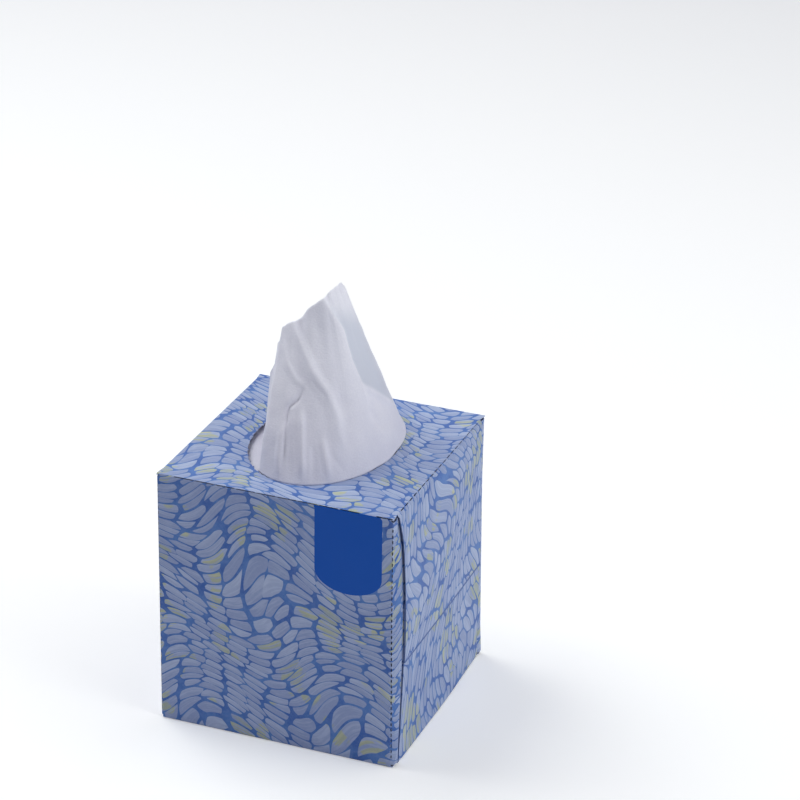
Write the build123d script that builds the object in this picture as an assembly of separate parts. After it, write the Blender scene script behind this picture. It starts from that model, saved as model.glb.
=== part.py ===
from build123d import *

import os
from math import atan2, cos, pi, radians, sin, sqrt

# Cube carton of tissues: the folded carton with its oval opening, the stack of tissues inside it,
# and the tissue that stands up out of it.
# X runs along the front panel, the front faces -Y, Z is up, and the origin is the middle of the base.

# Carton body
width = 110.0  # outside, between the creases of the two glued sides
depth = 110.0  # front panel to back panel
height = 122.0
board = 0.4  # thickness of the paperboard
fold_radius = 0.8  # outside radius of a crease
corner_round = 0.7  # of the front and back folds at the top panel's corners
corner_gap = 0.3  # from the top panel's corners to the creases of its flaps
glue_gap = 0.1  # between two layers that are glued together
layer_pitch = board + glue_gap

# Glued sides
flap_overlap = 31.0  # of the top and bottom flaps that close each side
major_flap = (height + flap_overlap) / 2
major_setback = 5.0  # from the front and back faces to the upright edges of those flaps
minor_flap = 48.0  # length of the flaps that fold in from the front and back panels
minor_run = 7.0  # how far from its crease a minor flap leans outward
right_bow = 4.6  # how far the full stack pushes the right side out
left_bow = 1.6
bow_skew = 1.7  # above 1, the bow is fullest above mid height
bow_fullness = 0.6  # below 1, the bow rises faster from the creases
flap_stations = 8  # spans between the heights at which a bowed flap is worked out
slope_step = 0.5
bend_shares = (0, 1 / 3, 2 / 3, 1)  # where the facets of a minor flap's bend meet
panel_lap = 6.0  # how far each flap's strip runs back over its own panel
seam_flap = 15.0  # width of the glue flap along the lower back edge
seam_cut = 0.3  # from the base to the cut edge of the back panel

# Adhesive
film = 0.05
seam_film_width = 10.0
seam_film_margin = 12.0  # from the creases to the ends of the film on the seam
flap_film_width = 7.0
flap_film_margin = 4.0  # from a flap's edges to the film
flap_film_inset = 10.0  # from the upright edges of a flap to the ends of its film

# Oval opening in the top panel, left by the torn-out cover
opening_side = 22.5  # from the creases of the glued sides to the oval
opening_front = 13.0  # from the front panel to the oval
opening_back = 7.0
opening_width = width - 2 * opening_side
opening_depth = depth - opening_front - opening_back
opening_shift = (opening_front - opening_back) / 2  # toward the back
nib_count = 44  # torn ties of the perforation round the opening
nib_width = 1.0
nib_reach = 0.5

# Stack of tissues, bent over in the middle so that both ends stand on the base
stack_clear_side = 1.6  # to the minor flaps
stack_clear_back = 2.6  # to the front and back panels
stack_clear_top = 7.6  # from the crest of the bend to the top panel
stack_arch = 22.0  # rise of the bend from the legs to the crest
bend_steps = 24  # flat spans round the bend
leg_gap = 1.6  # between the two legs
leg_gap_top = 60.0  # height at which the legs meet
fold_grooves = 4  # bundles of folds that show at each side of the stack
groove_width = 0.7
groove_depth = 0.8
stack_width = width - 2 * (2 * layer_pitch + board + stack_clear_side)
stack_depth = depth - 2 * (layer_pitch + board + stack_clear_back)
stack_top = height - board - stack_clear_top

# Raised tissue
ply = 0.3  # thickness of the doubled sheet
foot_clear = 0.3  # from the stack to the tissue's foot
throat_margin = 2.1  # from the edge of the opening to the tissue
crescent_inset = 7.0  # how much further in the tissue stands at the left
crescent_place = -66.0  # degrees round the opening, from its front
crescent_spread = 42.0
peak_height = 76.0  # above the top panel
edge_turn = 21.5  # degrees from X to the axis along the upper edge
gather_folds = 9.0
gather_depth = 0.9
around_steps = 52
upward_steps = 10

# The sheet's upper edge, from its free corner at the back left round the front to the one at the back right:
# degrees round the opening, then how far along, behind and below the middle of the opening's peak it lies
upper_edge = [
    (-129, -12.0, 15.0, 28.0),
    (-113, -21.0, 14.0, 40.0),
    (-93, -25.5, 9.0, 46.0),
    (-57, -21.0, 2.0, 29.0),
    (-33, -19.2, -5.0, 19.0),
    (-7, -14.3, -6.8, 15.5),
    (29, -7.8, -7.0, 9.0),
    (46, -0.6, -6.2, 4.8),
    (65, 2.8, -2.6, 1.0),
    (103, 6.5, 3.0, 0.0),
    (123, 8.0, 6.0, 3.0),
    (136, 3.5, 8.0, 5.0),
    (147, 7.5, 10.5, 7.0),
    (159, 0.0, 11.5, 9.0),
    (172, 5.0, 14.5, 11.0),
    (187, -2.0, 15.0, 15.0),
    (198, -7.0, 14.0, 20.0),
]

# Print on the carton
ink = 0.05
tab_left = 73.4  # from the front panel's left crease to the tab
tab_width = 30.4
tab_drop = 40.3
tab_round = 10.0  # height of its rounded lower end
pebble_length = 12.0
pebble_width = 5.4
pebble_pitch = 18.6  # along a band
band_pitch = 9.4
band_wave = 3.6  # rise of the bands' waves
band_length = 95.0  # from wave to wave
print_margin = 4.0  # from the creases to the outermost pebbles


def bow(z, side_bow):
    """How far a glued side stands out at height z."""
    share = min(max(z / height, 0.0), 1.0)
    return side_bow * max(sin(pi * share**bow_skew), 0.0) ** bow_fullness


def face_between(outer, inner):
    """Face between two open lines that run the same way."""
    return make_face([*outer.edges(), *inner.edges(), Line(outer @ 0, inner @ 0), Line(outer @ 1, inner @ 1)])


def sleeve():
    """Front, top, back and bottom panels in one strip, joined by the seam flap inside the back panel."""

    def line(inset):
        back = depth / 2 - inset
        seam = back - layer_pitch
        corners = [(back, seam_cut), (back, height - inset), (-back, height - inset), (-back, inset)]
        corners += [(seam, inset), (seam, seam_flap)]
        return FilletPolyline(*corners, radius=fold_radius - inset)

    reach = width / 2 - 2 * layer_pitch - fold_radius
    return extrude(Plane.YZ * face_between(line(0), line(board)), amount=reach, both=True)


def top_corner():
    """The top panel's front right corner, out to its crease beside the narrower flap, with the front fold's end."""
    fold = FilletPolyline((-depth / 2 + major_setback, height), (-depth / 2, height),
                          (-depth / 2, height - fold_radius), radius=corner_round)
    inner = FilletPolyline((-depth / 2 + major_setback, height - board), (-depth / 2 + board, height - board),
                           (-depth / 2 + board, height - fold_radius), radius=corner_round - board)
    start = width / 2 - 2 * layer_pitch - fold_radius
    return extrude(Plane.YZ.offset(start) * face_between(fold, inner), amount=width / 2 - corner_gap - start)


def bowed_line(layer, level, down, inset, first, last, side_bow):
    """Line down or up a glued side, inset from the outer face of the given layer of board."""
    points = []
    for step in range(flap_stations + 1):
        z = level + down * (first + (last - first) * step / flap_stations)
        slope = (bow(z + slope_step, side_bow) - bow(z - slope_step, side_bow)) / (2 * slope_step)
        outward = Vector(1, -slope).normalized()
        points.append(Vector(width / 2 - layer * layer_pitch + bow(z, side_bow), z) - outward * inset)
    return Spline(*points, tangents=[points[1] - points[0], points[-1] - points[-2]])


def major_flap_strip(layer, from_top, side_bow):
    """One flap at the right side, folded from the top or the bottom panel and bowed outward."""
    crease = width / 2 - layer * layer_pitch
    level, down = (height, -1) if from_top else (0, 1)

    def line(inset):
        skin = bowed_line(layer, level, down, inset, 2 * fold_radius, major_flap, side_bow)
        flat = level + down * inset
        lap = Line((crease - panel_lap, flat), (crease - fold_radius, flat))
        turn = Vector(1, 0).get_angle(skin % 0)
        bend = JernArc(lap @ 1, (1, 0), fold_radius - inset, down * turn)
        return Wire([lap, bend, Line(bend @ 1, skin @ 0), skin])

    return extrude(Plane.XZ * face_between(line(0), line(board)), amount=depth / 2 - major_setback, both=True)


def minor_flap_strip(side_bow):
    """The flap folded in from the front panel's right edge, leaning out as far as the bowed side lets it."""
    crease = width / 2 - 2 * layer_pitch
    front = -depth / 2
    relief = 2 * fold_radius
    sections = []
    for step in range(flap_stations + 1):
        z = relief + (height - 2 * relief) * step / flap_stations
        out_by = bow(z, side_bow)
        turn = pi / 2 - atan2(out_by, minor_run)

        def line(inset):
            radius = fold_radius - inset
            points = [Vector(crease - panel_lap, front + inset)]
            for share in bend_shares:
                across, along = radius * sin(turn * share), radius * cos(turn * share)
                points.append(Vector(crease - fold_radius + across, front + fold_radius - along))
            foot, out = points[-1], Vector(crease + out_by - inset, front + minor_run)
            for share in bend_shares[1:]:
                rise = (out.X - foot.X) * (1 - (1 - share) ** 2)
                points.append(Vector(foot.X + rise, foot.Y + (out.Y - foot.Y) * share))
            return Polyline(*points, (out.X, front + minor_flap))

        sections.append(Plane.XY.offset(z) * face_between(line(0), line(board)))
    return loft(sections, ruled=True)


def carton():
    """The whole folded blank: sleeve, major flaps and minor flaps, with the oval torn out of the top."""

    def side_flaps(side_bow):
        front_flap = minor_flap_strip(side_bow)
        flaps = [major_flap_strip(0, True, side_bow), major_flap_strip(1, False, side_bow)]
        return flaps + [front_flap, mirror(front_flap, Plane.XZ)]

    corners = [top_corner(), mirror(top_corner(), Plane.XZ)]
    right = side_flaps(right_bow) + corners
    body = sleeve() + right + [mirror(flap, Plane.YZ) for flap in side_flaps(left_bow) + corners]
    oval = Pos(0, opening_shift, height) * Ellipse(opening_width / 2, opening_depth / 2)
    body -= extrude(oval, amount=4 * board, both=True)
    nib = Box(nib_reach * 2, nib_width, board, align=(Align.CENTER, Align.CENTER, Align.MAX))
    ties = []
    for count in range(nib_count):
        turn = 2 * pi * (count + 0.5) / nib_count
        x, y = opening_width / 2 * cos(turn), opening_depth / 2 * sin(turn)
        facing = Vector(1, 0).get_signed_angle(Vector(x / opening_width**2, y / opening_depth**2))
        ties.append(Location((x, y + opening_shift, height), (0, 0, facing)) * nib)
    return body + ties


def seam_glue():
    """Adhesive film between the back panel and the seam flap."""
    length = width - 2 * seam_film_margin
    middle = depth / 2 - board - glue_gap / 2
    return Pos(0, middle, (seam_flap + fold_radius) / 2) * Box(length, film, seam_film_width)


def flap_glue(side_bow):
    """Two adhesive films between the top and bottom flaps where they overlap at the right side."""
    low, high = height - major_flap + flap_film_margin, major_flap - flap_film_margin
    films = []
    for first, last in ((low, low + flap_film_width), (high - flap_film_width, high)):
        near, far = (bowed_line(0, 0, 1, board + (glue_gap + thick) / 2, first, last, side_bow)
                     for thick in (-film, film))
        face = face_between(near, far)
        films.append(extrude(Plane.XZ * face, amount=depth / 2 - major_setback - flap_film_inset, both=True))
    return films


def stack_outline(inset):
    """Outline of the bent stack seen along X: two legs and a flattened bend."""
    half, rise = stack_depth / 2 - inset, stack_arch - inset
    turns = [pi * step / bend_steps for step in range(bend_steps + 1)]
    bend = [(half * cos(turn), stack_top - stack_arch + rise * sin(turn)) for turn in turns]
    return make_face(Polyline(*bend, (-half, board), (half, board), close=True))


def tissue_stack():
    """The stack of folded tissues bent over into two legs, with grooves between its folds at both sides."""
    body = extrude(Plane.YZ * stack_outline(0), amount=stack_width / 2, both=True)
    body -= Box(stack_width + 2, leg_gap, 2 * leg_gap_top)
    spacing = stack_arch / (fold_grooves + 1)
    for layer in range(1, fold_grooves + 1):
        band = stack_outline(spacing * layer) - stack_outline(spacing * layer + groove_width)
        groove = extrude(Plane.YZ.offset(stack_width / 2 - groove_depth) * band, amount=2 * groove_depth)
        body -= [groove, mirror(groove, Plane.YZ)]
    return body


def ease(x):
    """Smooth step from 0 to 1."""
    x = min(max(x, 0.0), 1.0)
    return x * x * (3 - 2 * x)


def edge_place(turn):
    """Place of the raised tissue's upper edge, from the middle of the opening, above the given turn round it."""
    for low, high in zip(upper_edge, upper_edge[1:]):
        if turn <= high[0]:
            break
    share = (turn - low[0]) / (high[0] - low[0])
    along, behind, drop = (a + (b - a) * share for a, b in zip(low[1:], high[1:]))
    return Vector(along, behind, height + peak_height - drop).rotate(Axis.Z, edge_turn)


def tissue_point(around, up):
    """Point of the raised tissue: around runs from 0 to 1 past the front, up from 0 at its foot to 1 at its edge."""
    first, last = upper_edge[0][0], upper_edge[-1][0]
    degrees_round = first + (last - first) * around
    turn = radians(degrees_round)
    inset = throat_margin + crescent_inset * ease(1 - abs(degrees_round - crescent_place) / crescent_spread)
    base = Vector((opening_width / 2 - inset) * sin(turn), (throat_margin - opening_depth / 2) * cos(turn))
    top = edge_place(degrees_round)
    reach = min(abs(base.Y + opening_shift) / (stack_depth / 2), 1.0)
    foot = stack_top - stack_arch + stack_arch * sqrt(1 - reach * reach) + foot_clear
    level = foot + (top.Z - foot) * up
    close = max(level - height, 0.0) / (top.Z - height)
    folds = gather_depth * sin(pi * close) * sin(gather_folds * turn)
    plan = base + (Vector(top.X, top.Y) - base) * close + Vector(sin(turn), -cos(turn)) * folds
    return Vector(plan.X, plan.Y + opening_shift, level)


def raised_tissue():
    """One gathered sheet, in flat facets, that stands in the opening and narrows to its free upper edge."""
    outer = [[tissue_point(i / around_steps, j / upward_steps) for i in range(around_steps + 1)]
             for j in range(upward_steps + 1)]

    def inside(i, j):
        beside = outer[j][min(i + 1, around_steps)] - outer[j][max(i - 1, 0)]
        above = outer[min(j + 1, upward_steps)][i] - outer[max(j - 1, 0)][i]
        return outer[j][i] - beside.cross(above).normalized() * ply

    inner = [[inside(i, j) for i in range(around_steps + 1)] for j in range(upward_steps + 1)]
    cells = [(skin[j][i], skin[j][i + 1], skin[j + 1][i + 1], skin[j + 1][i])
             for skin in (outer, inner) for i in range(around_steps) for j in range(upward_steps)]
    cells += [(outer[j][i], outer[j][i + 1], inner[j][i + 1], inner[j][i])
              for j in (0, upward_steps) for i in range(around_steps)]
    cells += [(outer[j][i], outer[j + 1][i], inner[j + 1][i], inner[j][i])
              for i in (0, around_steps) for j in range(upward_steps)]
    facets = [Face(Wire.make_polygon(corners)) for a, b, c, d in cells for corners in ((a, b, c), (a, c, d))]
    return Solid(Shell(facets))


def printed_tab():
    """Field of dark ink that hangs from the front panel's upper edge, with a rounded lower end."""
    left = tab_left - width / 2
    right = left + tab_width
    top, low = height - fold_radius, height - tab_drop
    sides = Polyline((left, low + tab_round), (left, top), (right, top), (right, low + tab_round))
    end = EllipticalCenterArc(((left + right) / 2, low + tab_round), tab_width / 2, tab_round, 180, arc_size=180)
    return extrude(Plane.XZ.offset(depth / 2) * make_face([*sides.edges(), *end.edges()]), amount=ink)


def pebble_face(plane, length, tall, keep_out):
    """Bands of long six-sided pebbles over one panel, left out where keep_out says so."""
    half, blunt = pebble_length / 2, pebble_length / 2 - pebble_width / 2
    corners = [(half, 0), (blunt, pebble_width / 2), (-blunt, pebble_width / 2), (-half, 0)]
    corners += [(-blunt, -pebble_width / 2), (blunt, -pebble_width / 2)]
    pebble = extrude(make_face(Polyline(*corners, close=True)), amount=ink)
    room = (length / 2 - print_margin - half, tall / 2 - print_margin - half / 2)
    placed = []
    for band in range(-round(tall / band_pitch), round(tall / band_pitch) + 1):
        for place in range(-round(length / pebble_pitch), round(length / pebble_pitch) + 1):
            x = (place + 0.5 * (band % 2)) * pebble_pitch
            phase = 2 * pi * x / band_length
            y = band * band_pitch + band_wave * sin(phase)
            if abs(x) > room[0] or abs(y) > room[1] or keep_out(x, y):
                continue
            lean = Vector(1, 0).get_signed_angle(Vector(1, 2 * pi * band_wave / band_length * cos(phase)))
            placed.append(plane * Location((x, y, 0), (0, 0, lean)) * pebble)
    return placed


def printed_pebbles():
    """Pale pebbles printed on the front, top and back panels, clear of the tab and the opening."""

    def on_tab(x, y):
        middle = tab_left + tab_width / 2 - width / 2
        low = height / 2 - tab_drop
        return abs(x - middle) < (tab_width + pebble_length) / 2 and y > low - pebble_width

    def on_opening(x, y):
        across = x / (opening_width / 2 + pebble_length / 2)
        return across**2 + ((y - opening_shift) / (opening_depth / 2 + pebble_length / 2)) ** 2 < 1

    panels = [
        (Plane((0, -depth / 2, height / 2), x_dir=(1, 0, 0), z_dir=(0, -1, 0)), height, on_tab),
        (Plane((0, depth / 2, height / 2), x_dir=(-1, 0, 0), z_dir=(0, 1, 0)), height, lambda x, y: False),
        (Plane((0, 0, height)), depth, on_opening),
    ]
    return [pebble for plane, tall, keep_out in panels for pebble in pebble_face(plane, width, tall, keep_out)]


pieces = {
    "carton": carton(),
    "seam_glue": seam_glue(),
    "flap_glue_right": Compound(children=flap_glue(right_bow)),
    "flap_glue_left": Compound(children=[mirror(glue, Plane.YZ) for glue in flap_glue(left_bow)]),
    "tissue_stack": tissue_stack(),
    "raised_tissue": raised_tissue(),
    "printed_tab": printed_tab(),
    "printed_pebbles": Compound(children=printed_pebbles()),
}
os.makedirs("parts", exist_ok=True)
for name, shape in pieces.items():
    export_step(shape, f"parts/{name}.step")
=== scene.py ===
import math

import bmesh
import bpy
from mathutils import Matrix, Vector, noise


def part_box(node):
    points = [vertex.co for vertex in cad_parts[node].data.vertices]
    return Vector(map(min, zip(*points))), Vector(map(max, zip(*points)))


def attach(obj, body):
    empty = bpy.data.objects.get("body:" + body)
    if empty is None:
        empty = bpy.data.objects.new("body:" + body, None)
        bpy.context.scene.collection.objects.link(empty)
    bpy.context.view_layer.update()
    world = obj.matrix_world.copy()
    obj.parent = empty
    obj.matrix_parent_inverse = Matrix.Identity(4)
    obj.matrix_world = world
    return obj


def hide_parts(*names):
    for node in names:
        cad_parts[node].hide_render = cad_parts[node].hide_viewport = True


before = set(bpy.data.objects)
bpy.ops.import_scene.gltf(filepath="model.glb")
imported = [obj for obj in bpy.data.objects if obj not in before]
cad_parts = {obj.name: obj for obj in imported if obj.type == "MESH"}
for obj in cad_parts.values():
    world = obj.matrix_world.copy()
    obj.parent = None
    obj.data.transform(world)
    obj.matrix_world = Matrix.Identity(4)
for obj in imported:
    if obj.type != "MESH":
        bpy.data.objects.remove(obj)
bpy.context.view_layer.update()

MM = 0.001

# Sizes of the carton, in millimetres
WIDTH = 110.0  # between the creases of the glued sides
DEPTH = 110.0
HEIGHT = 122.0
BOARD = 0.4
CREASE_INSET = 1.0  # from the carton's width to the creases of its minor flaps
FOLD_RADIUS = 0.8
FLAP_SETBACK = 5.0  # from the front and back to the ends of the glued flaps
FLAP_LENGTH = 76.5  # of the upper flaps, from the top down
OPENING = (65.0, 90.0)  # width and depth of the oval
OPENING_SHIFT = 3.0  # of the oval's middle toward the back
TAB_LEFT, TAB_WIDTH, TAB_DROP, TAB_ROUND = 73.4, 30.4, 40.3, 10.0  # left is from the front panel's left edge
TAB_GAP = 0.35  # from the front panel's upper edge to the tab's ink
FLAT_SIDE = WIDTH / 2 - CREASE_INSET - FOLD_RADIUS  # half the width of the front panel between its folds
FLAT_END = DEPTH / 2 - FOLD_RADIUS  # half the depth of a side between its folds
FLAP_END = DEPTH / 2 - FLAP_SETBACK  # half the depth of the glued flaps


def ease(x):
    """Smooth step from 0 to 1."""
    x = min(max(x, 0.0), 1.0)
    return x * x * (3 - 2 * x)


def new_object(name, data):
    obj = bpy.data.objects.new(name, data)
    bpy.context.scene.collection.objects.link(obj)
    return obj


# Camera

# The photo's view in degrees, solved from the carton's corners. The offset is from a point near its middle.
AZIMUTH, ELEVATION, ROLL = 21.54, 25.59, 0.79
LENS, SENSOR = 152.72, 36.0
AIM = Vector((0.0, 0.0, 55.0)) * MM
OFFSET_RIGHT, OFFSET_UP, OFFSET_BACK = 34.1 * MM, 79.5 * MM, 1519.6 * MM
CLIP_START, CLIP_END = 0.05, 20.0  # in metres


def view_axes():
    """Directions to the right, away and up along the picture, as the camera sees them before its roll."""
    azimuth, elevation = math.radians(AZIMUTH), math.radians(ELEVATION)
    right = Vector((math.cos(azimuth), math.sin(azimuth), 0.0))
    away = Vector((-math.sin(azimuth), math.cos(azimuth), 0.0))
    seen_up = away * math.sin(elevation) + Vector((0.0, 0.0, math.cos(elevation)))
    return right, away, seen_up


def make_camera():
    roll = math.radians(ROLL)
    right, _, up = view_axes()
    back = right.cross(up)
    right, up = (math.cos(roll) * right + math.sin(roll) * up, math.cos(roll) * up - math.sin(roll) * right)
    data = bpy.data.cameras.new("camera")
    data.lens, data.sensor_width = LENS, SENSOR
    data.clip_start, data.clip_end = CLIP_START, CLIP_END
    camera = new_object("camera", data)
    place = AIM + right * OFFSET_RIGHT + up * OFFSET_UP + back * OFFSET_BACK
    camera.matrix_world = Matrix.Translation(place) @ Matrix((right, up, back)).transposed().to_4x4()
    bpy.context.scene.camera = camera


# Light, floor and background

# Lamps: name, direction from the carton, power in watts and colour
LAMPS = [
    ("key_light", (-0.55, 0.10, 0.83), 13.8, (0.98, 1.0, 0.97)),
    ("top_light", (0.45, 0.10, 0.90), 6.8, (1.0, 0.98, 0.88)),
    ("side_light", (1.0, -0.10, 0.35), 6.9, (0.93, 0.98, 1.0)),
]
LAMP_DISTANCE, LAMP_SIZE = 1.5, 1.1  # in metres
AMBIENT, AMBIENT_COLOUR = 0.22, (0.72, 0.76, 1.0, 1.0)
WHITE = (1.0, 1.0, 1.0, 1.0)


def area_light(name, direction, power, colour):
    """A square lamp that stands off in a direction and faces the carton."""
    data = bpy.data.lights.new(name, "AREA")
    data.shape, data.size, data.energy, data.color = "SQUARE", LAMP_SIZE, power, colour
    light = new_object(name, data)
    light.location = AIM + Vector(direction).normalized() * LAMP_DISTANCE
    light.rotation_euler = (AIM - light.location).to_track_quat("-Z", "Y").to_euler()


def make_light():
    for name, direction, power, colour in LAMPS:
        area_light(name, direction, power, colour)
    make_world()
    bpy.context.scene.view_settings.view_transform = "Standard"


def make_world():
    """Soft bluish light from all round, and a white backdrop for the camera and for reflections."""
    world = bpy.data.worlds.new("world")
    world.use_nodes = True
    nodes, links = world.node_tree.nodes, world.node_tree.links
    nodes.clear()
    ambient, backdrop = nodes.new("ShaderNodeBackground"), nodes.new("ShaderNodeBackground")
    ambient.inputs["Color"].default_value = AMBIENT_COLOUR
    ambient.inputs["Strength"].default_value = AMBIENT
    backdrop.inputs["Color"].default_value = WHITE
    path, seen, mix = (nodes.new("ShaderNode" + kind) for kind in ("LightPath", "Math", "MixShader"))
    seen.operation = "MAXIMUM"
    links.new(path.outputs["Is Camera Ray"], seen.inputs[0])
    links.new(path.outputs["Is Glossy Ray"], seen.inputs[1])
    links.new(seen.outputs[0], mix.inputs[0])
    links.new(ambient.outputs[0], mix.inputs[1])
    links.new(backdrop.outputs[0], mix.inputs[2])
    links.new(mix.outputs[0], nodes.new("ShaderNodeOutputWorld").inputs[0])
    bpy.context.scene.world = world


FLOOR_REACH = 2.5  # from the carton to the floor's edges, in metres
FLOOR_COLOUR, FLOOR_ROUGHNESS = (0.90, 0.90, 0.90, 1.0), 0.8
FLOOR_GLOW = 0.22  # lifts the floor toward white for the camera and keeps the shadow


def make_floor():
    mesh = bpy.data.meshes.new("floor")
    corners = [(x * FLOOR_REACH, y * FLOOR_REACH, 0.0) for x, y in ((-1, -1), (1, -1), (1, 1), (-1, 1))]
    mesh.from_pydata(corners, [], [(0, 1, 2, 3)])
    floor = new_object("floor", mesh)
    material = Surface("floor")
    material.set("Base Color", FLOOR_COLOUR)
    material.set("Roughness", FLOOR_ROUGHNESS)
    material.set("Emission Color", WHITE)
    seen = material.node("LightPath").outputs["Is Camera Ray"]
    material.link(material.math("MULTIPLY", seen, FLOOR_GLOW), "Emission Strength")
    mesh.materials.append(material.material)


# Materials


class Surface:
    """A Principled material and short ways to add nodes to it."""

    def __init__(self, name):
        self.material = bpy.data.materials.new(name)
        self.material.use_nodes = True
        self.tree = self.material.node_tree
        self.shader = self.tree.nodes["Principled BSDF"]

    def set(self, socket, value):
        self.shader.inputs[socket].default_value = value

    def node(self, kind, **settings):
        made = self.tree.nodes.new("ShaderNode" + kind)
        for name, value in settings.items():
            setattr(made, name, value)
        return made

    def feed(self, socket, value):
        """Link a node's output to the socket, or set the socket to a plain value."""
        if isinstance(value, bpy.types.NodeSocket):
            self.tree.links.new(value, socket)
        else:
            socket.default_value = value

    def math(self, operation, *values, clamp=False):
        made = self.node("Math", operation=operation, use_clamp=clamp)
        for socket, value in zip(made.inputs, values):
            self.feed(socket, value)
        return made.outputs[0]

    def blend(self, share, low, high):
        """Mix two colours, which the node takes at its inputs 6 and 7 and gives at its output 2."""
        made = self.node("Mix", data_type="RGBA")
        self.feed(made.inputs["Factor"], share)
        self.feed(made.inputs[6], low)
        self.feed(made.inputs[7], high)
        return made.outputs[2]

    def tinted(self, colour, tint):
        """The colour with only a share of its red, green and blue left."""
        made = self.node("Mix", data_type="RGBA", blend_type="MULTIPLY")
        made.inputs["Factor"].default_value = 1.0
        self.feed(made.inputs[6], colour)
        self.feed(made.inputs[7], tint + (1.0,))
        return made.outputs[2]

    def step(self, value, low, high):
        """Smooth step from 0 at low to 1 at high."""
        made = self.node("MapRange", interpolation_type="SMOOTHSTEP")
        self.feed(made.inputs["Value"], value)
        self.feed(made.inputs["From Min"], low)
        self.feed(made.inputs["From Max"], high)
        return made.outputs[0]

    def noise(self, vector, scale, detail=2.0):
        made = self.node("TexNoise")
        self.feed(made.inputs["Vector"], vector)
        made.inputs["Scale"].default_value = scale
        made.inputs["Detail"].default_value = detail
        return made.outputs["Fac"]

    def place(self):
        return self.node("TexCoord").outputs["Object"]

    def bump(self, height, distance, normal=None):
        made = self.node("Bump")
        made.inputs["Distance"].default_value = distance
        self.feed(made.inputs["Height"], height)
        if normal is not None:
            self.feed(made.inputs["Normal"], normal)
        return made.outputs[0]

    def link(self, value, socket):
        self.tree.links.new(value, self.shader.inputs[socket])


def srgb(red, green, blue):
    """Linear colour from the usual 0 to 255 values."""
    def linear(c):
        c /= 255
        return c / 12.92 if c <= 0.04045 else ((c + 0.055) / 1.055) ** 2.4

    return (linear(red), linear(green), linear(blue), 1.0)


# Colours of the print, the board, the glue and the tissue
GROUND, GROUND_DEEP = srgb(82, 122, 187), srgb(62, 100, 172)
PEBBLE_SHADE, PEBBLE_LIGHT = srgb(141, 156, 195), srgb(176, 189, 217)
ACCENT_SHADE, ACCENT_LIGHT = srgb(164, 172, 146), srgb(196, 198, 150)
FLECK = srgb(225, 230, 245)
TAB_BLUE = srgb(0, 82, 178)
# colour of the painted shadow along the upper flap's free edge
LAP_SHADOW = srgb(46, 80, 150)
RAW_BOARD = srgb(176, 180, 192)
PALE_SIDE = srgb(206, 208, 228)
# dark colour on the flaps' cut edges, painted shade for the shadow in the gaps beside them
SHADED_CUT_EDGE = srgb(92, 110, 158)
GLUE_SHADE, GLUE_LIGHT = srgb(214, 204, 172), srgb(232, 226, 202)
# the tissue's colours: painted shade low down and painted light toward the tip
TISSUE_SHADED, TISSUE_LIT = srgb(230, 228, 240), srgb(247, 246, 255)

# Sizes of the printed pattern, in millimetres
PEBBLE_PITCH, BAND_PITCH = 10.4, 4.2
DRIFT_SPAN, DRIFT = 58.0, 13.0  # length and strength of the slow waves that bend the bands
DRIFT_DETAIL = 0.6  # how rough those waves are
SWING_SPAN, SWING, SWING_SLANT = 71.0, 7.0, 0.05  # length, height and slant of an even wave across the bands
LAP_SHADOW_WIDTH = 1.4  # width of the painted shadow along the upper flap's free edge
LAP_SHADOW_COVER = 0.9  # how much of the print that painted shadow hides

# Shape of a pebble, as shares of its cell
CELL_SPREAD = 0.62  # how far the cells stray from an even grid
CORNER_LOSS = 0.42  # how much the corners are rounded off
PEBBLE_REACH = 0.055  # how far a pebble reaches past that outline
PEBBLE_SHORT = 0.16  # how far short of it some fall
PEBBLE_RIM = (-0.006, 0.014)  # depth over which the ground turns into the pebble

# Brushwork of the print. A range is where one tone turns into the next, and a fineness is a noise's scale.
LIT_RANGE = (-0.22, 0.30)  # place across a band
STREAK_STRETCH, STREAK_RANGE = (1.4, 7.0, 1.0), (0.45, 0.62)
LIT_SHARE, STREAK_SHARE = 0.25, 0.4  # what the lit edge and the streaks add to the tone
TONE_MIDDLE, TONE_SPREAD = 0.4, 0.7  # the value round which the pebbles' own tones differ, and how far
PATCH_FINENESS, PATCH_SPREAD, PATCH_RANGE = 46.0, 0.22, (0.71, 0.73)  # where the pebbles are brushed yellow
STROKE_FINENESS, STROKE_RANGE = 0.55, (0.44, 0.52)  # and in what strokes
ACCENT_COVER = 0.85  # how much of a pale pebble the yellow hides
MOTTLE_FINENESS, MOTTLE_RANGE = 90.0, (0.35, 0.65)  # of the blue ground


def bent_bands(s, uv, u, v):
    """Place on the printed sheet once waves bend it, in pebbles along the bands and in bands across."""
    drift = s.node("TexNoise", noise_dimensions="2D")
    s.feed(drift.inputs["Vector"], uv)
    drift.inputs["Scale"].default_value = 1 / MM / DRIFT_SPAN
    drift.inputs["Detail"].default_value = DRIFT_DETAIL
    drifts = s.node("SeparateColor")
    s.feed(drifts.inputs[0], drift.outputs["Color"])
    moves = (s.math("SUBTRACT", drifts.outputs[i], 0.5) for i in (0, 1))
    along, across = (s.math("MULTIPLY", move, DRIFT * 2) for move in moves)
    turn = s.math("ADD", s.math("MULTIPLY", u, 2 * math.pi / SWING_SPAN), s.math("MULTIPLY", v, SWING_SLANT))
    swing = s.math("MULTIPLY", s.math("SINE", turn), SWING)
    bent_v = s.math("ADD", s.math("ADD", v, across), swing)
    return s.math("DIVIDE", s.math("ADD", u, along), PEBBLE_PITCH), s.math("DIVIDE", bent_v, BAND_PITCH)


def pebble_cells(s, place, feature):
    made = s.node("TexVoronoi", voronoi_dimensions="2D", feature=feature)
    s.feed(made.inputs["Vector"], place)
    made.inputs["Scale"].default_value = 1.0
    made.inputs["Randomness"].default_value = CELL_SPREAD
    return made


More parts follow.
